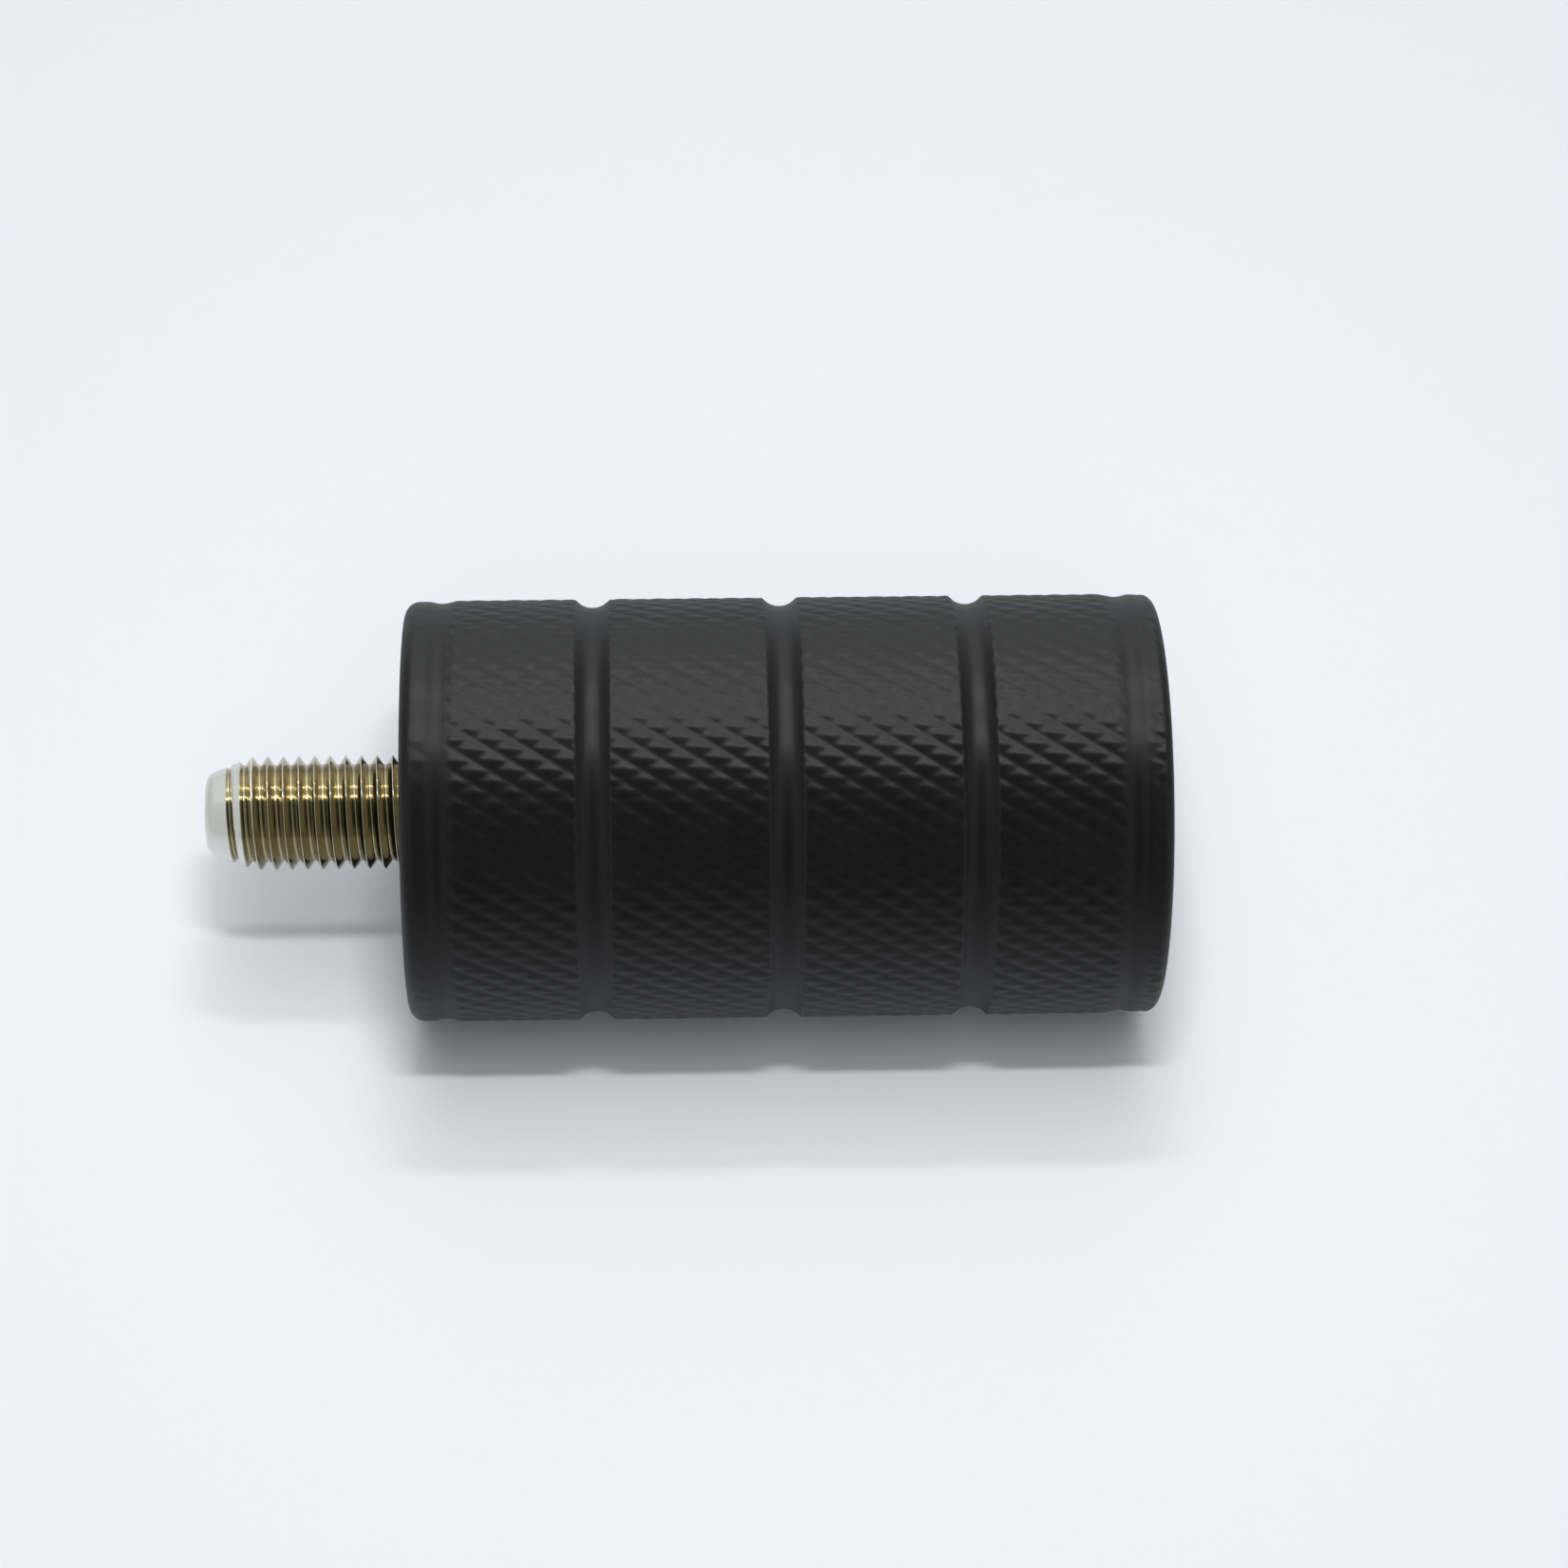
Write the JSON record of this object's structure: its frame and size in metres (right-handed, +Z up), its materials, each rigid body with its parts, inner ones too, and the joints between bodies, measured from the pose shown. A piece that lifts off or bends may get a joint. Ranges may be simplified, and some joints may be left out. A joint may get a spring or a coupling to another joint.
{
  "type": "foot peg",
  "caption": "Round knurled foot peg for a motorcycle lever, black coated, with finger grooves and a through screw whose thread stands out of the shoulder face.",
  "frame": {"origin": "centre of the annular shoulder face that seats against the lever, on the peg's axis", "axes": "+X along the peg's axis towards its outer end, so the screw's thread points along -X; +Z up"},
  "size_m": [0.0645, 0.0286, 0.0286],
  "materials": {
    "black_coat": "satin",
    "spring_steel": "satin",
    "stainless": "satin"
  },
  "bodies": {
    "peg": {"grip_body": "black_coat"},
    "washer": {"lock_washer": "spring_steel"},
    "screw": {"cap_screw": "stainless"}
  },
  "joints": [
    {"name": "washer_slide", "type": "slide", "parent": "peg", "child": "washer", "axis": [1, 0, 0], "range_m": [0, 0.066]},
    {"name": "screw_spin", "type": "hinge", "parent": "washer", "child": "screw", "pos_m": [0, 0, 0], "axis": [1, 0, 0], "continuous": true}
  ]
}
